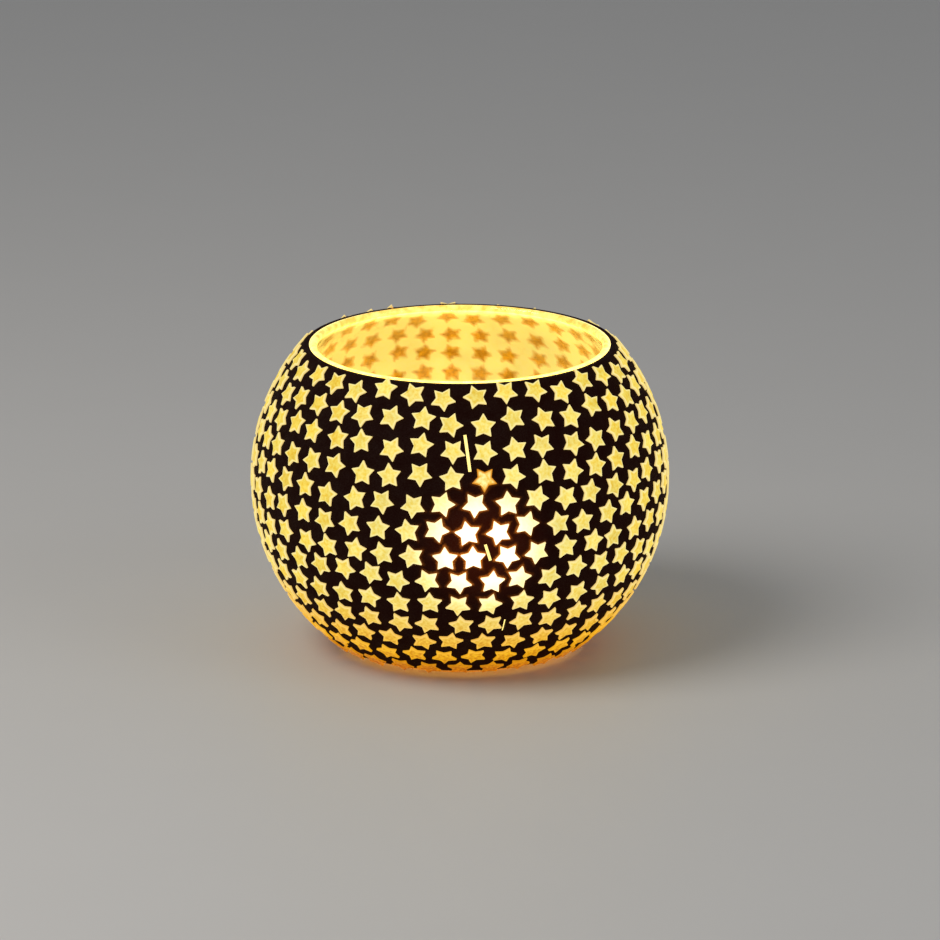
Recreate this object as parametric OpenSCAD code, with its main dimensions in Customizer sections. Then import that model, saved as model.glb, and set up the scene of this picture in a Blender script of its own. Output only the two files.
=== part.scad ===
// Mosaic glass tealight holder: a glass ball with a wide mouth, covered with
// star-shaped glass tiles set in dark grout, and the tealight that stands in it.
// Origin: middle of the foot, on the surface that the holder stands on. +Z is up.

/* [Glass ball] */
// Outer diameter of the glass ball
ball_d = 116; // [100:1:140]
// Thickness of the blown glass
glass_t = 2; // [1.8:0.1:3.5]
// Outer diameter of the rim round the mouth
mouth_d = 85; // [72:1:92]
// Diameter of the flat foot
foot_d = 60; // [48:1:70]
// Thickness of the glass floor
floor_t = 4; // [3:0.1:6]
// Diameter of the hollow pushed up under the foot
punt_d = 46; // [30:1:52]
// Depth of that hollow
punt_h = 1; // [0.5:0.1:2]

/* [Mosaic] */
// Number of courses of star tiles between the rim and the foot
courses = 13; // [9:1:15]
// Least joint between two tiles
tile_joint = 0.3; // [0.2:0.05:0.8]
// Mean spacing of the tiles along a course, as a multiple of their width
tile_spacing = 1.2; // [1.15:0.01:2]
// Most that a tile strays up or down from its course
stray = 1.2; // [0:0.1:1.5]
// Notches of a star, as a share of its radius
star_notch = 0.58; // [0.4:0.01:0.7]
// Thickness of a star tile
tile_t = 1.6; // [1.2:0.1:2.5]
// How far the grout stays below the face of the tiles
grout_drop = 0.6; // [0.3:0.05:1]
// Thickness of the white bed that the tiles are stuck in
bed_t = 0.3; // [0.2:0.05:0.6]
// Bare glass between the rim and the mosaic, along the ball
bare_top = 0.4; // [0.3:0.1:3]
// Bare glass between the mosaic and the foot, along the ball
bare_foot = 5.2; // [5:0.1:12]

/* [Tealight] */
// Outer diameter of the tealight's cup
cup_d = 38; // [37:0.5:39]
// Height of the cup
cup_h = 15.5; // [14:0.5:18]
// Thickness of the cup's metal
cup_t = 0.3; // [0.2:0.05:0.5]
// Depth of wax at its edge
wax_h = 12; // [9:0.5:13]
// Diameter of the wick
wick_d = 1.6; // [1.2:0.1:2]
// Length of wick that stands out of the wax
wick_out = 8; // [5:0.5:10]
// Diameter of the wick holder's disc
disc_d = 13; // [11:0.5:15]
// Distance of the tealight from the middle of the floor, towards +X
cup_offset = 5; // [0:0.5:8]

/* [Hidden] */
$fn = 96;
// Gap that keeps neighbouring pieces apart as separate solids
seat = 0.05;
ball_r = ball_d / 2;
bore_r = ball_r - glass_t;
// Height of a circle of the ball above the middle of the ball
function height_at(r) = sqrt(ball_r * ball_r - r * r);
centre_z = height_at(foot_d / 2);
rim_z = centre_z + height_at(mouth_d / 2);
rim_lat = acos(mouth_d / 2 / ball_r);
foot_lat = -acos(foot_d / 2 / ball_r);

// Layers of the mosaic, as radii from the middle of the ball
bed_r0 = ball_r + seat;
bed_r1 = bed_r0 + bed_t;
tile_r0 = bed_r1 + seat;
tile_r1 = tile_r0 + tile_t;
grout_r1 = tile_r1 - grout_drop;
// Angle that an arc of the ball spans, in degrees
function arc_deg(mm) = mm / ball_r * 180 / PI;
mosaic_top = rim_lat - arc_deg(bare_top);
mosaic_foot = foot_lat + arc_deg(bare_foot);

// The courses fill the height of the mosaic, and that sets the size of the stars
mosaic_arc = (mosaic_top - mosaic_foot) * PI / 180 * ball_r;
star_r = (mosaic_arc - 2 * stray - (courses - 1) * tile_joint) / courses / 2;
least = 2 * star_r + tile_joint;

function course_lat(k) = mosaic_top - arc_deg(stray + star_r + k * least);
function course_ring(k) = 2 * PI * ball_r * cos(course_lat(k));
function course_count(k) = floor(course_ring(k) / (2 * star_r * tile_spacing));

// Longitude of tile i in course k: evenly spaced, then shifted within its slot
function tile_lon(k, i, shift) =
    let (n = course_count(k), room = 1 - least / (course_ring(k) / n))
    360 * (i + 0.5 * (k % 2) + 0.5 * room * shift) / n;

// Difference of two longitudes, from -180 to 180
function turn(a, b) = (a - b + 540) % 360 - 180;

// How far a tile must drop below its course to clear one tile of the course above
function drop_for(lon, k, other) =
    let (ring = min(course_ring(k), course_ring(k - 1)),
         side = abs(turn(lon, other[1])) / 360 * ring)
    side >= least ? -stray : other[3] + sqrt(least * least - side * side) - least;

// One tile is [latitude, longitude, turn of the star, drop below its course]
function tile(k, i, above, r) =
    let (lon = tile_lon(k, i, r[i]),
         wish = stray * r[i + course_count(k)],
         drop = max([wish, for (other = above) drop_for(lon, k, other)]))
    [course_lat(k) - arc_deg(drop), lon, 36 * r[i + 2 * course_count(k)], drop];

function course(k, above) =
    let (n = course_count(k), r = rands(-1, 1, 3 * n, 17 + k))
    [for (i = [0 : n - 1]) tile(k, i, above, r)];

layout = [for (k = 0, row = course(0, []); k < courses; k = k + 1, row = course(k, row)) row];

// Cracks left in the grout: [latitude, longitude, length, width, turn]
cracks = [[22.4, -87.7, 10.5, 0.9, 7],
          [-5.25, -82.25, 5.5, 0.8, 17],
          [-29.8, -76, 5.5, 0.7, -3],
          [-32.6, -88.4, 4, 0.5, 90]];

// Tealight
cup_r = cup_d / 2;
wax_r = cup_r - cup_t - 2 * seat;
dish = 0.9;
disc_t = 0.3;
neck_r = wick_d / 2 + seat + disc_t;
neck_h = 4;
bend_r = 3.5;
bend_angle = 38;

// A ball-shaped skin between two radii and two latitudes
module ball_skin(r0, r1, lat_low, lat_high)
    translate([0, 0, centre_z])
        rotate_extrude()
            intersection() {
                difference() {
                    circle(r1);
                    circle(r0);
                }
                translate([0, r0 * sin(lat_low)])
                    square([2 * r1, r0 * (sin(lat_high) - sin(lat_low))]);
            }

module on_ball(lat, lon, r)
    translate([0, 0, centre_z])
        rotate([0, 90 - lat, lon])
            translate([0, 0, r])
                children();

// Outline of a star tile, grown by a margin
module star_outline(margin = 0) {
    tip = star_r + 2 * margin;
    notch = star_notch * star_r + margin;
    polygon([for (i = [0 : 4], p = [[tip, 0], [notch, 36]])
        p[0] * [cos(72 * i + p[1]), sin(72 * i + p[1])]]);
}

// A height inside the standing tealight, above the underside of its cup
module in_tealight(z)
    translate([cup_offset, 0, floor_t + seat + z])
        children();

module glass_bowl() {
    lip_r = glass_t / 2;
    lip_at = (ball_r - lip_r) / ball_r;
    punt_r = (punt_d * punt_d / 4 + punt_h * punt_h) / 2 / punt_h;
    color("ivory")
        rotate_extrude()
            union() {
                difference() {
                    intersection() {
                        translate([0, centre_z]) circle(ball_r);
                        square([ball_r, rim_z - (1 - lip_at) * height_at(mouth_d / 2)]);
                    }
                    intersection() {
                        translate([0, centre_z]) circle(bore_r);
                        translate([-ball_d, floor_t]) square([2 * ball_d, ball_d]);
                    }
                    translate([0, punt_h - punt_r]) circle(punt_r);
                }
                translate([lip_at * mouth_d / 2, centre_z + lip_at * height_at(mouth_d / 2)])
                    circle(lip_r);
            }
}

module tile_bed()
    color("white")
        ball_skin(bed_r0, bed_r1, mosaic_foot, mosaic_top);

module grout()
    color([0.09, 0.07, 0.06])
        difference() {
            ball_skin(tile_r0, grout_r1, mosaic_foot, mosaic_top);
            for (row = layout, t = row)
                on_ball(t[0], t[1], tile_r0 - 1)
                    rotate(t[2])
                        linear_extrude(tile_t + 2)
                            star_outline(seat);
            for (c = cracks)
                on_ball(c[0], c[1], tile_r0 - 1)
                    rotate(c[4])
                        linear_extrude(tile_t + 2)
                            square([c[2], c[3]], center = true);
        }

module star_course(row)
    color([0.98, 0.83, 0.42])
        for (t = row)
            on_ball(t[0], t[1], tile_r0)
                rotate(t[2])
                    linear_extrude(tile_t)
                        star_outline();

// Pressed cup with a rolled bead round its edge
module tealight_cup() {
    bead_r = 0.45;
    color("silver")
        in_tealight(0)
            rotate_extrude()
                union() {
                    difference() {
                        square([cup_r, cup_h - bead_r]);
                        translate([0, cup_t]) square([cup_r - cup_t, cup_h]);
                    }
                    translate([cup_r - cup_t + bead_r, cup_h - bead_r]) circle(bead_r);
                }
}

// Cake of wax, dished by burning, cast round the wick and its holder
module wax() {
    dish_r = (wax_r * wax_r + dish * dish) / 2 / dish;
    color("floralwhite")
        in_tealight(cup_t + seat)
            difference() {
                rotate_extrude()
                    difference() {
                        square([wax_r, wax_h]);
                        translate([0, wax_h - dish + dish_r]) circle(dish_r);
                    }
                cylinder(r = disc_d / 2 + seat, h = disc_t + seat);
                cylinder(r = neck_r + seat, h = neck_h + seat);
                cylinder(r = wick_d / 2 + seat, h = 2 * wax_h);
            }
}

// Tin disc with a crimped neck that holds the wick upright
module wick_holder()
    color("gainsboro")
        in_tealight(cup_t + seat)
            difference() {
                union() {
                    cylinder(d = disc_d, h = disc_t);
                    cylinder(r = neck_r, h = neck_h);
                }
                translate([0, 0, -1]) cylinder(r = wick_d / 2 + seat, h = neck_h + 2);
            }

// Braided wick that curls over at its burnt end
module wick() {
    straight = wax_h - dish + wick_out - bend_r * sin(bend_angle);
    color("dimgray")
        in_tealight(cup_t + seat)
            union() {
                cylinder(d = wick_d, h = straight);
                translate([bend_r, 0, straight])
                    rotate([90, 0, 180])
                        rotate_extrude(angle = bend_angle)
                            translate([bend_r, 0])
                                circle(d = wick_d);
            }
}

glass_bowl();
tile_bed();
grout();
for (k = [1 : courses])
    star_course(layout[k - 1]);
tealight_cup();
wax();
wick_holder();
wick();
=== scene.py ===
# %% [markdown]
# # A lit tealight holder in star mosaic
# The real thing is a ball of blown glass with a wide mouth. White bedding is spread on it,
# some five hundred pressed glass stars are pushed in, and dark grout fills the gaps.
# A tealight burns inside, so the stars glow and the grout stays black.
# This lesson builds the visible pieces round a finished CAD model. The CAD says where
# everything is; each cell here makes one piece or one finish.

# %% Load the fixed frame
import math
import random

import bmesh
import bpy
from mathutils import Matrix, Vector
from mathutils.kdtree import KDTree


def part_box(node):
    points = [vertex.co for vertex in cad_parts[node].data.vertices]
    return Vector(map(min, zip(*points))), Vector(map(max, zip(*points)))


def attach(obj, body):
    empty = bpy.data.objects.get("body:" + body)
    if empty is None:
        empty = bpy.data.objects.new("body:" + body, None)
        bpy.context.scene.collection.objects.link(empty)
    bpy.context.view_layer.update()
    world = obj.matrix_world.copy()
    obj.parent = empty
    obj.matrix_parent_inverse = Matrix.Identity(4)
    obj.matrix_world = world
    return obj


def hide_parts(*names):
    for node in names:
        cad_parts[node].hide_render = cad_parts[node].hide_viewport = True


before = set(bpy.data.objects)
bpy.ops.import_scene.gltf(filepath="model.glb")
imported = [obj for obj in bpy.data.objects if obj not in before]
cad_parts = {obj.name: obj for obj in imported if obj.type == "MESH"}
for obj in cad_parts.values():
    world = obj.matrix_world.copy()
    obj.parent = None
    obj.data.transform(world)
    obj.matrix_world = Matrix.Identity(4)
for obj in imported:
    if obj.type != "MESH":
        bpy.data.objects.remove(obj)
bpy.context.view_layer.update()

# %% [markdown]
# ## Measures
# Sizes are read from the CAD nodes where a node's box can tell them, so the pieces fit.
# A few that a box can't tell, such as the thickness of the glass, are written down here
# once, in metres.

# %% Read the sizes
MM = 0.001
bowl_low, bowl_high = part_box("glass_bowl")
ball_r = (bowl_high.x - bowl_low.x) / 2
glass_t = 2 * MM
foot_r = 30 * MM
rim_r = 42.5 * MM
floor_z = 4 * MM
ball_centre = Vector((0, 0, math.sqrt(ball_r**2 - foot_r**2)))
rim_lat = math.acos(rim_r / ball_r)
print("ball radius mm", round(ball_r / MM, 2), "centre height mm", round(ball_centre.z / MM, 2))

# %% Read where the tealight stands
cup_low, cup_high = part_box("tealight_cup")
wax_low, wax_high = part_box("wax")
wick_low, wick_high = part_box("wick")
tealight = Vector(((cup_low.x + cup_high.x) / 2, 0, cup_low.z))
cup_r = (cup_high.x - cup_low.x) / 2
flame_h = 24 * MM
# The flame starts a little way down the wick, towards the side that the wick curls to
flame_dip = 3.5 * MM
flame_side = 0.6 * MM
flame_base = Vector((tealight.x + flame_side, 0, wick_high.z - flame_dip))
# Its brightest part lies just below half its height
heart_share = 0.45
flame_heart = flame_base + Vector((0, 0, heart_share * flame_h))
# Centre of the painted hot spot: the spot of the mosaic through which the flame itself is seen
hot_spot = Vector((6.2, -59.0, 45.6)) * MM
print("tealight at mm", [round(c / MM, 2) for c in tealight])
print("flame heart at mm", [round(c / MM, 2) for c in flame_heart])

# %% [markdown]
# ## Helpers
# A few small helpers keep the cells short. One turns a finished bmesh into a piece that
# rides on a CAD body. One copies a CAD node. One spins a profile into a closed solid, as
# a lathe does. The last ones add shader nodes and fill in their values.


# %% Turn a bmesh into a piece
def make_piece(name, bm, body, material, replaced=(), smooth=True):
    mesh = bpy.data.meshes.new(name)
    bm.to_mesh(mesh)
    bm.free()
    mesh.materials.append(material)
    for face in mesh.polygons:
        face.use_smooth = smooth
    piece = bpy.data.objects.new(name, mesh)
    bpy.context.scene.collection.objects.link(piece)
    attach(piece, body)
    if replaced:
        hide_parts(*replaced)
    triangles = sum(len(face.vertices) - 2 for face in mesh.polygons)
    print(name, "vertices", len(mesh.vertices), "triangles", triangles)
    return piece


# %% Copy a CAD node
def cad_copy(name):
    """A CAD mesh is loose triangles, so corners within 2 thousandths of a millimetre are merged."""
    bm = bmesh.new()
    bm.from_mesh(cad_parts[name].data)
    bmesh.ops.remove_doubles(bm, verts=bm.verts, dist=0.002 * MM)
    return bm


# %% Spin a profile
def spin_profile(points, steps, loop=False):
    """points are (radius, height) pairs round the +Z axis through the origin."""
    bm = bmesh.new()
    corners = [bm.verts.new((r, 0, z)) for r, z in points]
    following = corners[1:] + corners[:1] if loop else corners[1:]
    edges = [bm.edges.new(pair) for pair in zip(corners, following)]
    bmesh.ops.spin(
        bm, geom=corners + edges, cent=(0, 0, 0), axis=(0, 0, 1),
        angle=2 * math.pi, steps=steps, use_merge=True,
    )
    # Points on the axis are spun on the spot, so they come out as many and become one
    bmesh.ops.remove_doubles(bm, verts=bm.verts, dist=0.001 * MM)
    bmesh.ops.recalc_face_normals(bm, faces=bm.faces)
    return bm


def arc(centre, radius, start, end, count):
    """Points on a circle in the profile's plane; angles in degrees from the +radius direction."""
    angles = [math.radians(start + (end - start) * i / count) for i in range(count + 1)]
    return [(centre[0] + radius * math.cos(a), centre[1] + radius * math.sin(a)) for a in angles]


# %% Add a shader node
def add(tree, kind, values=None, **settings):
    node = tree.nodes.new("ShaderNode" + kind)
    for key, value in settings.items():
        setattr(node, key, value)
    for key, value in (values or {}).items():
        if isinstance(value, bpy.types.NodeSocket):
            tree.links.new(value, node.inputs[key])
        else:
            node.inputs[key].default_value = value
    return node


# %% Start a material
def new_material(name, **values):
    """A material with one Principled shader; the values are plain numbers on its own sockets."""
    material = bpy.data.materials.new(name)
    material.use_nodes = True
    shader = next(node for node in material.node_tree.nodes if node.type == "BSDF_PRINCIPLED")
    for key, value in values.items():
        shader.inputs[key.replace("_", " ")].default_value = value
    return material, material.node_tree, shader


# %% Mix two colours
# The Mix node has a set of sockets for each kind of value; these are the ones for colours
MIX_MASK, MIX_FIRST, MIX_SECOND, MIX_RESULT = 0, 6, 7, 2


def mix_colours(tree, mask, first, second, blend="MIX"):
    """first and second are (red, green, blue) or sockets; mask is a number or a socket."""
    node = tree.nodes.new("ShaderNodeMix")
    node.data_type = "RGBA"
    node.blend_type = blend
    for index, value in ((MIX_MASK, mask), (MIX_FIRST, first), (MIX_SECOND, second)):
        if isinstance(value, bpy.types.NodeSocket):
            tree.links.new(value, node.inputs[index])
        else:
            node.inputs[index].default_value = value if index == MIX_MASK else (*value, 1)
    return node.outputs[MIX_RESULT]


# %% Bump a surface
def bump(tree, shader, height, distance, strength=1.0):
    node = add(tree, "Bump", {"Height": height, "Distance": distance, "Strength": strength})
    tree.links.new(node.outputs["Normal"], shader.inputs["Normal"])


# %% [markdown]
# ## Shared effects
# Two effects turn up in nearly every finish here. Candlelight falls off with distance
# from a point, and hand-made surfaces are mottled. Each is a node group, built once,
# with named inputs, so a material only says how near, how far or how coarse.


# %% Start and place a group
def new_group(name, inputs, outputs):
    """inputs pairs each name with its kind; each output is a plain number."""
    group = bpy.data.node_groups.new(name, "ShaderNodeTree")
    for label, kind in inputs.items():
        group.interface.new_socket(label, in_out="INPUT", socket_type="NodeSocket" + kind)
    for label in outputs:
        group.interface.new_socket(label, in_out="OUTPUT", socket_type="NodeSocketFloat")
    return group, group.nodes.new("NodeGroupInput"), group.nodes.new("NodeGroupOutput")


def place_group(tree, group, values):
    node = tree.nodes.new("ShaderNodeGroup")
    node.node_tree = group
    for key, value in values.items():
        node.inputs[key].default_value = value
    return node


# %% Group: light that fades with distance
def build_candle_glow():
    sockets = {"Centre": "Vector", "Full within": "Float", "Gone beyond": "Float"}
    group, ins, outs = new_group("Candle glow", sockets, ["Glow"])
    place = add(group, "TexCoord")
    ends = {0: place.outputs["Object"], 1: ins.outputs["Centre"]}
    apart = add(group, "VectorMath", ends, operation="DISTANCE")
    fall = {
        "Value": apart.outputs["Value"],
        "From Min": ins.outputs["Full within"],
        "From Max": ins.outputs["Gone beyond"],
        "To Min": 1.0,
        "To Max": 0.0,
    }
    fade = add(group, "MapRange", fall, interpolation_type="SMOOTHSTEP")
    group.links.new(fade.outputs["Result"], outs.inputs["Glow"])
    return group


candle_glow = build_candle_glow()
print("group", candle_glow.name, "has", len(candle_glow.nodes), "nodes")


# %% Group: the mottling of a hand-made surface
def build_mottle():
    """Grain is fine and spans 0 to 1. Cloud is coarse and dims to 1 less the Cloudiness."""
    coarser = 0.12
    sockets = {"Grain size": "Float", "Cloudiness": "Float"}
    group, ins, outs = new_group("Hand-made mottle", sockets, ["Grain", "Cloud"])
    where = add(group, "TexCoord").outputs["Object"]
    fine = add(group, "Math", {0: 1.0, 1: ins.outputs["Grain size"]}, operation="DIVIDE")
    wide = add(group, "Math", {0: fine.outputs[0], 1: coarser}, operation="MULTIPLY")
    grain = add(group, "TexNoise", {"Vector": where, "Scale": fine.outputs[0], "Detail": 4.0})
    cloud = add(group, "TexNoise", {"Vector": where, "Scale": wide.outputs[0], "Detail": 2.0})
    # Noise seldom leaves the middle of its range, so both are stretched
    grain_range = {"Value": grain.outputs[0], "From Min": 0.34, "From Max": 0.66}
    stretched = add(group, "MapRange", grain_range)
    dim = add(group, "Math", {0: 1.0, 1: ins.outputs["Cloudiness"]}, operation="SUBTRACT")
    cloud_range = {"Value": cloud.outputs[0], "From Min": 0.3, "From Max": 0.7, "To Min": dim.outputs[0]}
    dimmed = add(group, "MapRange", cloud_range)
    group.links.new(stretched.outputs["Result"], outs.inputs["Grain"])
    group.links.new(dimmed.outputs["Result"], outs.inputs["Cloud"])
    return group


mottle = build_mottle()
print("group", mottle.name, "has", len(mottle.nodes), "nodes")

# %% [markdown]
# ## Where the stars are
# Each CAD course is loose tiles in one mesh. Walking from vertex to vertex along the
# edges splits a merged copy into tiles. A tile's middle, and the direction of one of its
# points, are all that the shading of the other layers needs.


# %% Split a course into its tiles
def tiles_of(bm):
    """Lists of joined vertices, always in the order of the mesh."""
    seen, tiles = set(), []
    for first in bm.verts:
        if first in seen:
            continue
        seen.add(first)
        queue, tile = [first], []
        while queue:
            vertex = queue.pop()
            tile.append(vertex)
            for edge in vertex.link_edges:
                other = edge.other_vert(vertex)
                if other not in seen:
                    seen.add(other)
                    queue.append(other)
        tiles.append(tile)
    return tiles


def axis_of(tile):
    """Direction from the middle of the ball through the middle of a tile."""
    return (sum((v.co for v in tile), Vector()) / len(tile) - ball_centre).normalized()


def off_axis(vertex, axis):
    """The way from a tile's axis to a vertex, square to the axis."""
    spot = vertex.co - ball_centre
    return spot - axis * spot.dot(axis)


# %% Measure every tile
courses = sorted(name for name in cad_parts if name.startswith("star_course"))
stars = []
for course in courses:
    bm = cad_copy(course)
    for tile in tiles_of(bm):
        axis = axis_of(tile)
        tip = max((off_axis(vertex, axis) for vertex in tile), key=lambda way: way.length)
        stars.append({"axis": axis, "tip": tip.normalized(), "reach": tip.length})
    bm.free()
star_r = max(star["reach"] for star in stars)
# The notches lie at this share of the radius
star_notch = 0.58
notch_r = star_notch * star_r
finder = KDTree(len(stars))
for index, star in enumerate(stars):
    finder.insert(star["axis"], index)
finder.balance()
print("tiles", len(stars), "in", len(courses), "courses; star radius mm", round(star_r / MM, 3))

# %% Distance from a point of the ball to the nearest star outline
# Distance of the tiles' undersides from the middle of the ball
tile_r0 = 58.4 * MM
# Angle between a point of a star and the notch beside it
half_point = math.pi / 5
notch = Vector((notch_r * math.cos(half_point), notch_r * math.sin(half_point)))
# Square to the edge that runs from a point to a notch
slope = Vector((notch.y, star_r - notch.x)).normalized()


def star_gap(direction):
    """Metres from a direction on the ball to the nearest outline; negative inside a star."""
    gaps = []
    for _, index, _ in finder.find_n(direction, 2):
        star = stars[index]
        offset = (direction - star["axis"]) * tile_r0
        along = offset.dot(star["tip"])
        across = offset.dot(star["axis"].cross(star["tip"]))
        turn = abs((math.atan2(across, along) + half_point) % (2 * half_point) - half_point)
        reach = math.hypot(along, across)
        gaps.append((reach * math.cos(turn) - star_r) * slope.x + reach * math.sin(turn) * slope.y)
    return min(gaps)


print("gap at a star's middle mm", round(star_gap(stars[0]["axis"]) / MM, 2))

# %% [markdown]
# ## Glass of the bowl
# The ball is clear glass that was melted round at the rim. Real refraction is worth its
# cost here: the rim then gathers light from the glowing bed into one thin bright line.
# The glass keeps a plain transmission. Its emission paints a faint glow near the rim and
# in the bare band at the foot, for the candlelight trapped inside the wall there.

# %% Finish: candlelit glass
bowl_glass, tree, shader = new_material(
    "Candlelit bowl glass", Roughness=0.03, IOR=1.5, Transmission_Weight=1.0, Emission_Strength=1.0
)
unlit = (0.0, 0.0, 0.0)
rim_light = add(tree, "Attribute", attribute_name="edge_light")
foot_light = add(tree, "Attribute", attribute_name="foot_light")
seeds = place_group(tree, mottle, {"Grain size": 2.5 * MM, "Cloudiness": 0.35})
# Painted glow: emission stands in for the candlelight in the lip and in the bare foot band
painted_lip_glow = mix_colours(tree, seeds.outputs["Grain"], (1.0, 0.6, 0.08), (1.4, 1.08, 0.28))
painted_rim_glow = mix_colours(tree, rim_light.outputs["Fac"], unlit, painted_lip_glow)
painted_foot_glow = mix_colours(tree, foot_light.outputs["Fac"], unlit, (0.62, 0.17, 0.007))
painted_foot_glow = mix_colours(tree, 1.0, painted_foot_glow, seeds.outputs["Cloud"], "MULTIPLY")
lit = mix_colours(tree, 1.0, painted_rim_glow, painted_foot_glow, "ADD")
tree.links.new(lit, shader.inputs["Emission Color"])
tint = mix_colours(tree, seeds.outputs["Grain"], (1.0, 0.965, 0.88), (1.0, 0.985, 0.95))
tree.links.new(tint, shader.inputs["Base Color"])
bump(tree, shader, seeds.outputs["Grain"], 0.02 * MM)
print("finish", bowl_glass.name)

# %% Draw the bowl's profile, from the middle of the floor over the lip to the foot
wall_rows, lip_rows, punt_rows, columns = 60, 14, 10, 192
bore_r = ball_r - glass_t
lip_r = glass_t / 2
lip_out = ball_r - lip_r
lip = (lip_out * math.cos(rim_lat), ball_centre.z + lip_out * math.sin(rim_lat))
lip_turn = math.degrees(rim_lat)
# The floor meets the wall in a small rounded corner
corner = 1.2 * MM
soft = 0.35 * MM
# The wall stops some degrees above the foot, and two steps inwards round that corner
foot_bend = 0.6
foot_steps = [(foot_r - 0.25 * MM, 0.08 * MM), (foot_r - 0.8 * MM, 0)]
foot_turn = foot_bend - math.degrees(math.acos(foot_r / ball_r))
floor_turn = math.degrees(math.asin((floor_z + corner - ball_centre.z) / bore_r))
wall_in = arc((0, ball_centre.z), bore_r, floor_turn, lip_turn, wall_rows)
wall_out = arc((0, ball_centre.z), ball_r, lip_turn, foot_turn, wall_rows)
floor_r = wall_in[0][0]
profile = [(0, floor_z), (floor_r / 2, floor_z)]
profile += [(floor_r - corner, floor_z), (floor_r - soft, floor_z + soft)] + wall_in
profile += arc(lip, lip_r, lip_turn + 180, lip_turn, lip_rows)[1:-1] + wall_out + foot_steps
print("profile of the wall has", len(profile), "points")

# %% Close it with the hollow under the foot, and spin it
punt_r, punt_h = 23 * MM, 1 * MM
punt_ball = (punt_r**2 + punt_h**2) / 2 / punt_h
punt_turn = math.degrees(math.asin(punt_r / punt_ball))
profile += [(punt_r, 0)]
profile += arc((0, punt_h - punt_ball), punt_ball, 90 - punt_turn, 90, punt_rows)[1:]
bowl = spin_profile(profile, columns)
print("bowl vertices", len(bowl.verts))


# %% Mark where light is trapped in the wall
def clamp(value):
    return max(0, min(1, value))


rim_mask = bowl.verts.layers.float.new("edge_light")
foot_mask = bowl.verts.layers.float.new("foot_light")
# Latitudes, in degrees, where each band of trapped light begins, and over how many it grows
rim_from, rim_over = 40.8, 2.0
foot_from, foot_over = -50.5, 2.5
for vertex in bowl.verts:
    spot = vertex.co - ball_centre
    height = math.degrees(math.asin(max(-1, min(1, spot.z / spot.length))))
    # Both sides of the wall carry the rim's band, and only its outer side the foot's
    on_wall = spot.length > bore_r - 0.3 * MM
    on_outside = spot.length > ball_r - 0.4 * MM
    vertex[rim_mask] = clamp((height - rim_from) / rim_over) if on_wall else 0.0
    vertex[foot_mask] = clamp((foot_from - height) / foot_over) if on_outside else 0.0
make_piece("bowl_glass", bowl, "holder", bowl_glass, ["glass_bowl"])

# %% [markdown]
# ## White bed
# From inside, the bed's emission paints the candlelight: bright cream where the black grout
# behind it throws the light back, and orange-brown where a star lets the light out. The stars
# show there as soft painted shadows. A fine spun shell carries them as a vertex attribute, so
# the shadows sit exactly behind the tiles. Its outer side is seen only through the cracks in
# the grout, where the painted glow is brighter still.

# %% Finish: glowing bed
bed_finish, tree, shader = new_material("Glowing white bed", Roughness=0.6, Emission_Strength=1.0)
shadow = add(tree, "Attribute", attribute_name="star_shadow")
outer_side_glow_mask = add(tree, "Attribute", attribute_name="outer_side")
near_flame = place_group(
    tree, candle_glow, {"Centre": flame_heart, "Full within": 52 * MM, "Gone beyond": 96 * MM}
)
smear = place_group(tree, mottle, {"Grain size": 1.6 * MM, "Cloudiness": 0.3})
# Painted light: the emission paints the flame's light, cream where it is thrown back, amber in the
# painted star shadows, brightest on the outer side
cream = mix_colours(tree, near_flame.outputs["Glow"], (0.95, 0.58, 0.05), (1.0, 0.86, 0.2))
amber = mix_colours(tree, smear.outputs["Grain"], (0.6, 0.2, 0.002), (1.0, 0.42, 0.008))
glow = mix_colours(tree, shadow.outputs["Fac"], cream, amber)
glow = mix_colours(tree, 1.0, glow, smear.outputs["Cloud"], "MULTIPLY")
glow = mix_colours(tree, outer_side_glow_mask.outputs["Fac"], glow, (1.5, 1.15, 0.32))
tree.links.new(glow, shader.inputs["Emission Color"])
# The chalk base colour, darkened where a star's painted shadow falls
chalk_and_painted_shadow = mix_colours(tree, smear.outputs["Grain"], (0.5, 0.44, 0.32), (0.62, 0.56, 0.44))
chalk_and_painted_shadow = mix_colours(tree, shadow.outputs["Fac"], chalk_and_painted_shadow, (0.12, 0.05, 0.003))
tree.links.new(chalk_and_painted_shadow, shader.inputs["Base Color"])
bump(tree, shader, smear.outputs["Grain"], 0.05 * MM)
bed_finish.cycles.emission_sampling = "NONE"
print("finish", bed_finish.name)

# %% Spin the bed
bed_low, bed_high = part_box("tile_bed")
# The CAD keeps a small gap between two bonded layers
bed_r0 = ball_r + 0.05 * MM
bed_r1 = (bed_high.x - bed_low.x) / 2
bed_top = math.degrees(math.asin((bed_high.z - ball_centre.z) / bed_r0))
bed_foot = math.degrees(math.asin((bed_low.z - ball_centre.z) / bed_r0))
rows, columns = ((104, 440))
profile = arc((0, ball_centre.z), bed_r0, bed_foot, bed_top, rows)
profile += arc((0, ball_centre.z), bed_r1, bed_top, bed_foot, rows)
bed = spin_profile(profile, columns, loop=True)
print("bed vertices", len(bed.verts))

# %% Mark the star shadows on the bed
shadow_mask = bed.verts.layers.float.new("star_shadow")
outer_mask = bed.verts.layers.float.new("outer_side")
# A shadow fades over this width, and is a little less than half dark at the outline
fade_w = 1.2 * MM
edge_share = 0.45
for vertex in bed.verts:
    spot = vertex.co - ball_centre
    dark = clamp(edge_share - star_gap(spot.normalized()) / fade_w)
    inside = spot.length < (bed_r0 + bed_r1) / 2
    vertex[shadow_mask] = dark * dark * (3 - 2 * dark) if inside else 0.0
    vertex[outer_mask] = 0.0 if inside else 1.0
make_piece("glowing_bed", bed, "holder", bed_finish, ["tile_bed"])
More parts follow.
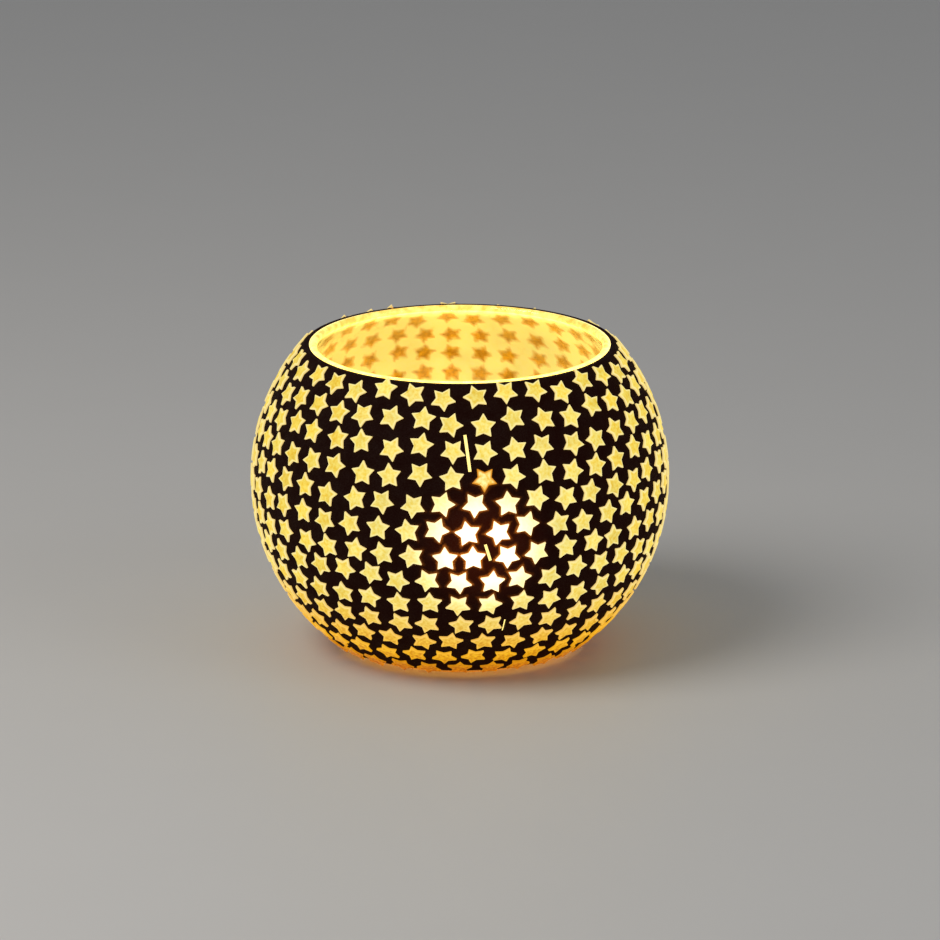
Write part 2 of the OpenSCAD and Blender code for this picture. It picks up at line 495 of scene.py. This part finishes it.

# %% [markdown]
# ## Grout
# The CAD grout is a skin with a pocket for each star and four cracks that let a line of
# light out. Real grout is wiped while wet, so it climbs a little way up every tile and
# lies lower in between. A merged copy is given more vertices where its skin is open.
# Each is then raised by how near a star it lies, and keeps that nearness for the painted glow.

# %% Finish: dark sanded grout
grout_finish, tree, shader = new_material(
    "Dark sanded grout", Roughness=0.85, Emission_Strength=1.0, Specular_IOR_Level=0.05
)
beside = add(tree, "Attribute", attribute_name="beside_star")
sand = place_group(tree, mottle, {"Grain size": 0.5 * MM, "Cloudiness": 0.6})
halo = place_group(tree, candle_glow, {"Centre": hot_spot, "Full within": 3 * MM, "Gone beyond": 22 * MM})
black = mix_colours(tree, sand.outputs["Grain"], (0.0015, 0.0012, 0.001), (0.008, 0.0065, 0.005))
black = mix_colours(tree, 1.0, black, sand.outputs["Cloud"], "MULTIPLY")
tree.links.new(black, shader.inputs["Base Color"])
# Painted light: emission paints a reddish halo round the stars where the flame is seen, brightest in a
# collar beside each tile
painted_halo_glow = mix_colours(tree, halo.outputs["Glow"], (0.007, 0.0006, 0.0), (0.032, 0.0032, 0.0001))
painted_collar_glow = mix_colours(tree, halo.outputs["Glow"], (0.012, 0.003, 0.0002), (0.8, 0.2, 0.015))
painted_halo_glow = mix_colours(tree, beside.outputs["Fac"], painted_halo_glow, painted_collar_glow)
tree.links.new(painted_halo_glow, shader.inputs["Emission Color"])
rough = add(tree, "MapRange", {"Value": sand.outputs["Cloud"], "To Min": 0.95, "To Max": 0.7})
tree.links.new(rough.outputs["Result"], shader.inputs["Roughness"])
bump(tree, shader, sand.outputs["Grain"], 0.12 * MM)
print("finish", grout_finish.name)

# %% Give the grout's skin more vertices
grout_low, grout_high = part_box("grout")
grout_r = (grout_high.x - grout_low.x) / 2
grout = cad_copy("grout")


def on_skin(vertex):
    """Whether a vertex lies on the outer skin, and not down in a pocket."""
    return abs((vertex.co - ball_centre).length - grout_r) < 0.06 * MM


longest = 1 * MM
for _ in range(2):
    skin = [edge for edge in grout.edges if on_skin(edge.verts[0]) and on_skin(edge.verts[1])]
    wide = [edge for edge in skin if edge.calc_length() > longest]
    bmesh.ops.subdivide_edges(grout, edges=wide, cuts=1)
    many_sided = [face for face in grout.faces if len(face.verts) > 3]
    # The default diagonals repeat a few that are there already; short ones keep the skin closed
    bmesh.ops.triangulate(grout, faces=many_sided, quad_method="SHORT_EDGE")
print("grout vertices", len(grout.verts))

# %% Wipe the grout up against the tiles
near_star = grout.verts.layers.float.new("beside_star")
glow_w = 0.8 * MM
climb_w = 0.6 * MM
climb_h = 0.16 * MM
# Share of the climb by which the open grout lies lower than the CAD's
sink = 0.4
for vertex in grout.verts:
    if on_skin(vertex):
        outwards = (vertex.co - ball_centre).normalized()
        gap = max(0, star_gap(outwards))
        vertex[near_star] = max(0, 1 - gap / glow_w) ** 2
        vertex.co += outwards * climb_h * (max(0, 1 - gap / climb_w) - sink)
make_piece("wiped_grout", grout, "holder", grout_finish, ["grout"], smooth=False)

# %% [markdown]
# ## Star tiles
# The real stars are pressed glass with blunt points, rounded edges and a slightly raised
# face. The CAD tile is a sharp ten-cornered prism, so a merged copy of each course is
# reshaped with bevels, and its points are drawn out by a little more than the bevels took.
# The face is then ringed inside its outline. Two attributes guide the finish's painted glow:
# one tells the face from the side walls, where the light leaves orange, and one tells the
# middle of the face from its outline, where the painted light is paler.

# %% Finish: lit star glass, the masks and the light that reaches it
star_finish, tree, shader = new_material(
    "Lit star glass", Roughness=0.35, IOR=1.45, Emission_Strength=2.5,
    Specular_IOR_Level=0.22, Coat_Weight=0.06,
)
wall = add(tree, "Attribute", attribute_name="wall")
middle = add(tree, "Attribute", attribute_name="middle")
own = add(tree, "Attribute", attribute_name="own_tone")
clear = add(tree, "Attribute", attribute_name="clear_tile")
veil = place_group(tree, mottle, {"Grain size": 0.9 * MM, "Cloudiness": 0.2})


def star_light(centre, full, gone):
    reach = {"Centre": centre, "Full within": full * MM, "Gone beyond": gone * MM}
    return place_group(tree, candle_glow, reach).outputs["Glow"]


# Tiles turn orange towards the foot, where the cup shades them from the flame
under_foot = Vector((0, 0, -30 * MM))
hot = star_light(hot_spot, 4, 23)
broad = star_light(hot_spot, 14, 62)
low = star_light(under_foot, 56, 87)
lowest = star_light(under_foot, 49, 62)
print("finish", star_finish.name)

# %% Finish: lit star glass, the colours of its painted glow
# Painted light: the emission paints the candlelight that comes through each tile, golden with a tone of
# its own and paler at the outline
gold = mix_colours(tree, own.outputs["Fac"], (0.375, 0.225, 0.01), (0.4, 0.275, 0.02))
pale = mix_colours(tree, own.outputs["Fac"], (0.41, 0.32, 0.045), (0.42, 0.355, 0.08))
face_glow = mix_colours(tree, veil.outputs["Grain"], gold, pale)
broad_hot_glow = mix_colours(tree, veil.outputs["Grain"], (0.4, 0.3, 0.045), (0.43, 0.38, 0.13))
face_glow = mix_colours(tree, broad, face_glow, broad_hot_glow)
face_glow = mix_colours(tree, 1.0, face_glow, veil.outputs["Cloud"], "MULTIPLY")
face_glow = mix_colours(tree, middle.outputs["Fac"], (0.4, 0.35, 0.14), face_glow)
# Painted shade: orange and then russet towards the foot, and orange on the side walls
orange = mix_colours(tree, veil.outputs["Grain"], (0.26, 0.095, 0.0), (0.39, 0.21, 0.001))
orange = mix_colours(tree, middle.outputs["Fac"], (0.4, 0.2, 0.002), orange)
russet_shade = mix_colours(tree, veil.outputs["Grain"], (0.14, 0.026, 0.0), (0.27, 0.08, 0.0))
orange = mix_colours(tree, lowest, orange, russet_shade)
warm = mix_colours(tree, low, face_glow, orange)
warm = mix_colours(tree, wall.outputs["Fac"], warm, (0.26, 0.1, 0.004))
# Painted hot spot: where the flame itself is seen, white on the faces and orange on the walls
painted_blaze = mix_colours(tree, wall.outputs["Fac"], (1.0, 0.86, 0.52), (0.6, 0.26, 0.03))
light = mix_colours(tree, hot, warm, painted_blaze)
# The clear tile's painted glow, amber on its face and dark on its walls
unbacked_glow = mix_colours(tree, veil.outputs["Grain"], (0.4, 0.24, 0.03), (0.46, 0.4, 0.16))
unbacked_glow = mix_colours(tree, middle.outputs["Fac"], (0.3, 0.11, 0.004), unbacked_glow)
unbacked_glow = mix_colours(tree, wall.outputs["Fac"], unbacked_glow, (0.05, 0.01, 0.0))
light = mix_colours(tree, clear.outputs["Fac"], light, unbacked_glow)
tree.links.new(light, shader.inputs["Emission Color"])
pane = mix_colours(tree, veil.outputs["Grain"], (0.02, 0.01, 0.002), (0.05, 0.025, 0.005))
tree.links.new(pane, shader.inputs["Base Color"])
bump(tree, shader, veil.outputs["Grain"], 0.05 * MM)
print("star glass has", len(tree.nodes), "nodes")


# %% Bevel the edges of a course of tiles
def bevel(bm, edges, offset, segments):
    bmesh.ops.bevel(
        bm, geom=edges, offset=offset, offset_type="OFFSET",
        affect="EDGES", segments=segments, profile=0.5, material=-1,
    )


def tall_point_edges(bm):
    """The five edges of each star that stand on end at its points."""
    found = []
    for tile in tiles_of(bm):
        axis = axis_of(tile)
        for edge in dict.fromkeys(edge for vertex in tile for edge in vertex.link_edges):
            run = (edge.verts[0].co - edge.verts[1].co).normalized()
            stands = abs(run.dot(axis)) > 0.99
            at_point = off_axis(edge.verts[0], axis).length > 0.9 * star_r
            if stands and at_point:
                found.append(edge)
    return found


def outer_faces(bm):
    """The star-shaped faces that look away from the ball; every other face has fewer corners."""
    stars_only = [face for face in bm.faces if len(face.verts) > 8]
    return [face for face in stars_only if face.normal.dot(face.calc_center_median() - ball_centre) > 0]


# %% Draw the points out and ring the face
# Greatest stretch of a star, at its points; its notches stay where they are
draw_out = 0.065
# Vertices this near the underside belong to the side wall; the bevelled rim is part wall
wall_h = 0.8 * MM
rim_share = 0.25
ring_share = 0.72
ring_lift = 0.06 * MM


def draw_points_out(bm):
    for tile in tiles_of(bm):
        axis = axis_of(tile)
        for vertex in tile:
            way = off_axis(vertex, axis)
            vertex.co += way * draw_out * clamp((way.length - notch_r) / (star_r - notch_r))


def ring_faces(bm):
    wall_mask = bm.verts.layers.float.new("wall")
    middle_mask = bm.verts.layers.float.new("middle")
    faces = outer_faces(bm)
    on_face = {vertex for face in faces for vertex in face.verts}
    for vertex in bm.verts:
        deep = (vertex.co - ball_centre).length < tile_r0 + wall_h
        vertex[wall_mask] = 1.0 if deep else 0.0 if vertex in on_face else rim_share
    bmesh.ops.inset_individual(bm, faces=faces, thickness=0, depth=0)
    for face in faces:
        centre = face.calc_center_median()
        lift = face.normal * ring_lift
        for vertex in face.verts:
            vertex.co = centre + (vertex.co - centre) * ring_share + lift
            vertex[wall_mask] = 0.0
            vertex[middle_mask] = 1.0


# %% Reshape one course of tiles
blunt = 0.2 * MM
rim_soft = 0.16 * MM
# Triangles this close to one plane, in degrees, are joined into one face
flat_within = 2


def star_tiles(course):
    bm = cad_copy(course)
    bmesh.ops.dissolve_limit(bm, angle_limit=math.radians(flat_within), verts=bm.verts, edges=bm.edges)
    bevel(bm, tall_point_edges(bm), blunt, 2)
    bevel(bm, [edge for face in outer_faces(bm) for edge in face.edges], rim_soft, 1)
    draw_points_out(bm)
    ring_faces(bm)
    return bm


# %% Find the clear tile
# One tile was never backed with white: it shows clear amber glass and its own side walls
clear_lat, clear_lon = math.radians(15), math.radians(-80)
clear_way = Vector((math.cos(clear_lon), math.sin(clear_lon), math.tan(clear_lat))).normalized()
clear_axis = stars[finder.find(clear_way)[1]]["axis"]
clear_lean = math.radians(5)
clear_lift = 0.45 * MM
print("clear tile at", [round(c, 3) for c in clear_axis])


# %% Give each tile its own tone
def tone_tiles(bm, dice):
    tone = bm.verts.layers.float.new("own_tone")
    clear_mask = bm.verts.layers.float.new("clear_tile")
    for tile in tiles_of(bm):
        shade = dice.random()
        axis = axis_of(tile)
        is_clear = (axis - clear_axis).length * tile_r0 < 1 * MM
        for vertex in tile:
            vertex[tone] = shade
            vertex[clear_mask] = 1.0 if is_clear else 0.0
        if is_clear:
            lean = Matrix.Rotation(clear_lean, 3, axis.orthogonal())
            bmesh.ops.rotate(bm, cent=ball_centre + axis * tile_r0, matrix=lean, verts=tile)
            bmesh.ops.translate(bm, vec=axis * clear_lift, verts=tile)


# %% Make the tiles, one piece for each course
dice = random.Random(29)
for course in courses:
    bm = star_tiles(course)
    tone_tiles(bm, dice)
    name = course.replace("star_course", "star_tiles")
    make_piece(name, bm, "holder", star_finish, [course], smooth=False)

# %% [markdown]
# ## Tealight cup
# A tealight's cup is thin aluminium, pressed from a disc, so its wall is faintly fluted
# where the metal was gathered, and its edge is rolled over a bead. Spinning gives the
# body, and pushing every other column of the wall inwards by a few hundredths of a
# millimetre gives the flutes.

# %% Finish: pressed foil
foil, tree, shader = new_material("Pressed aluminium foil", Metallic=1.0, Roughness=0.28)
press = place_group(tree, mottle, {"Grain size": 0.9 * MM, "Cloudiness": 0.4})
metal = mix_colours(tree, press.outputs["Cloud"], (0.62, 0.61, 0.6), (0.86, 0.86, 0.87))
tree.links.new(metal, shader.inputs["Base Color"])
worn = add(tree, "MapRange", {"Value": press.outputs["Grain"], "To Min": 0.2, "To Max": 0.42})
tree.links.new(worn.outputs["Result"], shader.inputs["Roughness"])
bump(tree, shader, press.outputs["Grain"], 0.03 * MM)
print("finish", foil.name)

# %% Draw the cup's profile, from the middle of its floor over the bead to its underside
cup_t = 0.3 * MM
bead = 0.45 * MM
inner_bend, outer_bend = 0.8 * MM, 1.1 * MM
# The underside is pushed up a little inside a ring that the cup stands on
ring_in, ring_out, ring_h = 6.4 * MM, 7 * MM, 0.12 * MM
base, top = cup_low.z, cup_high.z
wall_r = cup_r - 2 * bead + cup_t
inner_r, inner_z = wall_r - cup_t, base + cup_t
levels = [base + (top - base) * step / 8 for step in range(8)]
profile = [(0, inner_z), (6 * MM, inner_z), (inner_r - inner_bend - 0.1 * MM, inner_z)]
profile += arc((inner_r - inner_bend, inner_z + inner_bend), inner_bend, -80, 0, 5)
profile += [(inner_r, level) for level in levels[2:]]
profile += arc((inner_r + bead, top - bead), bead, 180, -60, 12)
profile += [(wall_r, top - 2.2 * bead)] + [(wall_r, level) for level in levels[:0:-1]]
profile += arc((wall_r - outer_bend, base + outer_bend), outer_bend, 0, -90, 6)
profile += [(ring_out, base), (ring_in, base + ring_h), (0, base + ring_h)]
print("profile of the cup has", len(profile), "points")

# %% Spin the cup and flute its wall
cup = spin_profile(profile, 120)
flutes = 60
# Each flute is deepest at the foot of the wall and fades out towards the bead
flute_depth = 0.07 * MM
fluted_from, fluted_to = 0.02, 0.9
for vertex in cup.verts:
    reach = math.hypot(vertex.co.x, vertex.co.y)
    up = (vertex.co.z - base) / (top - base)
    if reach > wall_r - 1.5 * MM and fluted_from < up < fluted_to:
        wave = 0.5 + 0.5 * math.cos(flutes * math.atan2(vertex.co.y, vertex.co.x))
        pull = 1 - flute_depth * wave * (1 - up) / reach
        vertex.co.x *= pull
        vertex.co.y *= pull
bmesh.ops.translate(cup, vec=(tealight.x, 0, 0), verts=cup.verts)
make_piece("pressed_cup", cup, "tealight", foil, ["tealight_cup"])

# %% [markdown]
# ## Wax
# The wax burns in the middle, so it is a clear shallow pool there, with a soft shore,
# and dull cloudy wax outside it that still clings a little way up the cup. One spun
# piece makes both. An attribute tells the finish where the pool is.

# %% Finish: burning wax
wax_finish, tree, shader = new_material(
    "Burning wax", Roughness=0.5, IOR=1.43, Emission_Strength=1.0,
    Subsurface_Weight=0.6, Subsurface_Scale=0.004,
)
pool = add(tree, "Attribute", attribute_name="pool")
curd = place_group(tree, mottle, {"Grain size": 1.4 * MM, "Cloudiness": 0.2})
firm = mix_colours(tree, curd.outputs["Grain"], (0.86, 0.8, 0.68), (0.94, 0.9, 0.82))
melt = mix_colours(tree, pool.outputs["Fac"], firm, (0.8, 0.66, 0.42))
tree.links.new(melt, shader.inputs["Base Color"])
gloss = add(tree, "MapRange", {"Value": pool.outputs["Fac"], "To Min": 0.5, "To Max": 0.04})
tree.links.new(gloss.outputs["Result"], shader.inputs["Roughness"])
# Painted light: emission paints the flame's warm light on the wax, strongest round the foot of the flame
lit_wax = place_group(
    tree, candle_glow, {"Centre": flame_base, "Full within": 3 * MM, "Gone beyond": 30 * MM}
)
painted_flame_light = mix_colours(tree, lit_wax.outputs["Glow"], (0.05, 0.016, 0.002), (0.42, 0.2, 0.04))
tree.links.new(painted_flame_light, shader.inputs["Emission Color"])
bump(tree, shader, curd.outputs["Grain"], 0.04 * MM, 0.5)
print("finish", wax_finish.name)

# %% Draw the wax's profile, from its underside over the edge to the middle of the pool
spare = 0.02 * MM
wax_r = (wax_high.x - wax_low.x) / 2 - spare
edge_z, dish = wax_high.z, 0.9 * MM
edge_soft = 0.12 * MM
edge_r = wax_r - edge_soft
pool_share = 0.68
pool_r = pool_share * wax_r
profile = [(0, wax_low.z), (wax_r - 0.5 * MM, wax_low.z), (wax_r, wax_low.z + 0.5 * MM)]
profile += [(wax_r, edge_z - 4 * MM), (wax_r, edge_z - 0.15 * MM), (edge_r, edge_z)]
# The bank rises from the pool, wax clings to the cup, and the shore is a low round swell
bank_share, cling_share = 0.45, 0.55
cling_w, shore_w, shore_h = 1.6 * MM, 0.9 * MM, 0.12 * MM
steps = 30
for step in range(1, steps + 1):
    reach = edge_r * (1 - step / steps)
    bank = max(0, (reach - pool_r) / (wax_r - pool_r))
    cling = max(0, 1 - (wax_r - reach) / cling_w) ** 2
    shore = math.exp(-(((reach - pool_r) / shore_w) ** 2))
    height = edge_z - dish + dish * (bank_share * bank + cling_share * cling) + shore_h * shore
    profile.append((reach, height))
print("profile of the wax has", len(profile), "points")

# %% Spin the wax and mark the pool
wax = spin_profile(profile, 96)
pool_mask = wax.verts.layers.float.new("pool")
pool_edge = 0.8 * MM
for vertex in wax.verts:
    reach = math.hypot(vertex.co.x, vertex.co.y)
    on_top = vertex.co.z > edge_z - 2 * dish
    vertex[pool_mask] = clamp((pool_r - reach) / pool_edge) if on_top else 0.0
bmesh.ops.translate(wax, vec=(tealight.x, 0, 0), verts=wax.verts)
make_piece("burning_wax", wax, "candle", wax_finish, ["wax"])

# %% [markdown]
# ## Wick and its holder
# The wick is a flat braid of cotton. Burnt, it is black and brittle, curls over, and
# glows at the very tip. A three-lobed section that turns as it rises reads as a braid.
# The tin holder under the wax keeps its CAD shape and only gets a finish.

# %% Finish: charred wick
char, tree, shader = new_material("Charred wick", Roughness=0.9, Emission_Strength=2.0)
ash = place_group(tree, mottle, {"Grain size": 0.25 * MM, "Cloudiness": 0.5})
soot = mix_colours(tree, ash.outputs["Grain"], (0.008, 0.007, 0.006), (0.05, 0.042, 0.036))
tree.links.new(soot, shader.inputs["Base Color"])
wick_tip = Vector((wick_high.x, 0, wick_high.z))
tip_glow = place_group(
    tree, candle_glow, {"Centre": wick_tip, "Full within": 0.5 * MM, "Gone beyond": 2.4 * MM}
)
cinder = mix_colours(tree, tip_glow.outputs["Glow"], unlit, (1.0, 0.18, 0.02))
tree.links.new(cinder, shader.inputs["Emission Color"])
bump(tree, shader, ash.outputs["Grain"], 0.08 * MM)
print("finish", char.name)

# %% Draw the braid's section
wick_r = 0.8 * MM
wick = bmesh.new()
ring = bmesh.ops.create_circle(wick, cap_ends=True, segments=18, radius=wick_r)["verts"]
strands = 3
for vertex in ring:
    vertex.co *= 0.86 + 0.12 * math.cos(strands * math.atan2(vertex.co.y, vertex.co.x))
bmesh.ops.translate(wick, vec=(tealight.x, 0, wick_low.z), verts=ring)
print("section has", len(ring), "vertices")

# %% Extrude the braid, first straight up and then over in a bend
bend_r, bend = 3.5 * MM, math.radians(38)
bend_z = wick_high.z - bend_r * math.sin(bend) - wick_r * math.sin(bend)
straight_steps, bend_steps = 30, 14
rise = Vector((0, 0, (bend_z - wick_low.z) / straight_steps))
# The braid turns by 0.3 radians a step
twist = Matrix.Rotation(0.3, 3, "Z")
pivot = Vector((tealight.x + bend_r, 0, bend_z))
lean = Matrix.Rotation(bend / bend_steps, 3, "Y")
here = Vector((tealight.x, 0, wick_low.z))
front = wick.faces[:]
for step in range(straight_steps + bend_steps):
    grown = bmesh.ops.extrude_face_region(wick, geom=front)["geom"]
    verts = [part for part in grown if isinstance(part, bmesh.types.BMVert)]
    next_front = [part for part in grown if isinstance(part, bmesh.types.BMFace)]
    # Only the first face stays, as the wick's lower end; the later ones would be walls inside it
    if step:
        bmesh.ops.delete(wick, geom=front, context="FACES_ONLY")
    front = next_front
    if step < straight_steps:
        bmesh.ops.translate(wick, vec=rise, verts=verts)
        here = here + rise
        bmesh.ops.rotate(wick, cent=here, matrix=twist, verts=verts)
    else:
        bmesh.ops.rotate(wick, cent=pivot, matrix=lean, verts=verts)
bmesh.ops.recalc_face_normals(wick, faces=wick.faces)
make_piece("braided_wick", wick, "candle", char, ["wick"])

# %% Finish: tinned sheet on the wick holder
tin, tree, shader = new_material("Tinned sheet", Metallic=1.0, Roughness=0.35)
spangle = place_group(tree, mottle, {"Grain size": 1.2 * MM, "Cloudiness": 0.3})
plate = mix_colours(tree, spangle.outputs["Cloud"], (0.5, 0.5, 0.49), (0.74, 0.73, 0.71))
tree.links.new(plate, shader.inputs["Base Color"])
bump(tree, shader, spangle.outputs["Grain"], 0.02 * MM)
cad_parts["wick_holder"].data.materials.clear()
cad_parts["wick_holder"].data.materials.append(tin)
print("finish", tin.name)

# %% [markdown]
# ## Flame
# A flame is light, not a solid, but the scene needs its shape and its light. A spun
# teardrop glows from blue at its root to pale yellow, and a warm lamp inside it lights
# the wax and the cup. Both ride on the candle, so they leave with it.

# %% Finish: flame
flame_finish, tree, shader = new_material("Candle flame", Roughness=1.0, Emission_Strength=5.0)
place = add(tree, "TexCoord")
split = add(tree, "SeparateXYZ", {"Vector": place.outputs["Object"]})
span = {"Value": split.outputs["Z"], "From Min": flame_base.z, "From Max": flame_base.z + flame_h}
climb = add(tree, "MapRange", span)
ramp = add(tree, "ValToRGB", {"Fac": climb.outputs["Result"]})
blue_root, red_tip = (0.02, 0.04, 0.2, 1), (0.9, 0.35, 0.06, 1)
between = ((0.14, (0.35, 0.16, 0.05, 1)), (0.35, (1.0, 0.62, 0.2, 1)), (0.75, (1.0, 0.72, 0.3, 1)))
for position, colour in between:
    ramp.color_ramp.elements.new(position).color = colour
ramp.color_ramp.elements[0].color = blue_root
ramp.color_ramp.elements[-1].color = red_tip
tree.links.new(ramp.outputs["Color"], shader.inputs["Emission Color"])
tree.links.new(ramp.outputs["Color"], shader.inputs["Base Color"])
flame_finish.cycles.emission_sampling = "NONE"
print("finish", flame_finish.name)

# %% Spin the flame
flame_r = 3.6 * MM
steps = 32
profile = []
for step in range(steps + 1):
    t = step / steps
    # Fullest a third of the way up, and thinning to nothing at both ends
    fullness = math.sin(math.pi * t**0.72) ** 0.8 * (1 - 0.35 * t) if 0 < t < 1 else 0.0
    profile.append((flame_r * fullness, flame_base.z + flame_h * t))
flame = spin_profile(profile, 32)
# A breath of air pushes it to one side
sway = 0.5 * MM
for vertex in flame.verts:
    t = (vertex.co.z - flame_base.z) / flame_h
    vertex.co.x += sway * math.sin(3 * t) * t
bmesh.ops.translate(flame, vec=(flame_base.x, 0, 0), verts=flame.verts)
flame_piece = make_piece("flame", flame, "candle", flame_finish)
flame_piece.visible_shadow = False

# %% Put a lamp in the flame
lamp = bpy.data.lights.new("flame_light", "POINT")
lamp.color = (1.0, 0.56, 0.2)
lamp.energy = 0.045
lamp.shadow_soft_size = 3.5 * MM
lamp_object = bpy.data.objects.new("flame_light", lamp)
lamp_object.location = flame_heart
bpy.context.scene.collection.objects.link(lamp_object)
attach(lamp_object, "candle")
print("lamp of", lamp.energy, "W")

# %% [markdown]
# ## Studio
# A pale floor and soft light from large areas, kept low so that the candlelight still
# leads. The camera stands where the ball, the rim and the foot line up as they should.

# %% Floor
floor_mesh = bpy.data.meshes.new("floor")
half_floor = 8.0
bm = bmesh.new()
bmesh.ops.create_grid(bm, x_segments=1, y_segments=1, size=half_floor)
bm.to_mesh(floor_mesh)
bm.free()
floor_finish, tree, shader = new_material("Pale floor", Roughness=0.55)
paper = place_group(tree, mottle, {"Grain size": 4 * MM, "Cloudiness": 0.1})
tone = mix_colours(tree, paper.outputs["Cloud"], (0.56, 0.54, 0.51), (0.6, 0.58, 0.55))
tree.links.new(tone, shader.inputs["Base Color"])
floor_mesh.materials.append(floor_finish)
floor = bpy.data.objects.new("floor", floor_mesh)
bpy.context.scene.collection.objects.link(floor)
print("floor", 2 * half_floor, "m across")


# %% Soft light
lit_point = Vector((0, 0, 40 * MM))


def soft_box(name, place, size, energy, colour):
    """A round soft light of that size in metres and power in watts, turned to the ball."""
    data = bpy.data.lights.new(name, "AREA")
    data.shape = "DISK"
    data.size = size
    data.energy = energy
    data.color = colour
    lamp = bpy.data.objects.new(name, data)
    lamp.location = place
    lamp.rotation_euler = (lit_point - Vector(place)).to_track_quat("-Z", "Y").to_euler()
    bpy.context.scene.collection.objects.link(lamp)


soft_box("key", (-0.55, -0.35, 0.75), 0.6, 5.0, (1.0, 0.97, 0.93))
soft_box("fill", (0.8, -0.5, 0.5), 0.7, 1.4, (0.92, 0.96, 1.0))
world = bpy.data.worlds.new("studio")
bpy.context.scene.world = world
world.use_nodes = True
world.node_tree.nodes["Background"].inputs["Color"].default_value = (0.8, 0.84, 0.9, 1)
world.node_tree.nodes["Background"].inputs["Strength"].default_value = 0.3
bpy.context.scene.view_settings.view_transform = "Standard"
print("lights", len(bpy.data.lights))

# %% Camera
camera_data = bpy.data.cameras.new("camera")
camera_data.lens = 266.8
camera_data.clip_start = 0.01
camera = bpy.data.objects.new("camera", camera_data)
elevation = math.radians(16.2)
distance = 2.0
# The ball stands a little left of the middle of the frame, and a little low in it
aim_right, aim_up = 2.9 * MM, 1.8 * MM
aim = Vector((aim_right, 0, ball_centre.z + aim_up))
camera.location = aim + distance * Vector((0, -math.cos(elevation), math.sin(elevation)))
camera.rotation_euler = (aim - camera.location).to_track_quat("-Z", "Y").to_euler()
bpy.context.scene.collection.objects.link(camera)
bpy.context.scene.camera = camera
print("camera at", [round(c, 3) for c in camera.location])

# %% Finish by updating the view layer
bpy.context.view_layer.update()
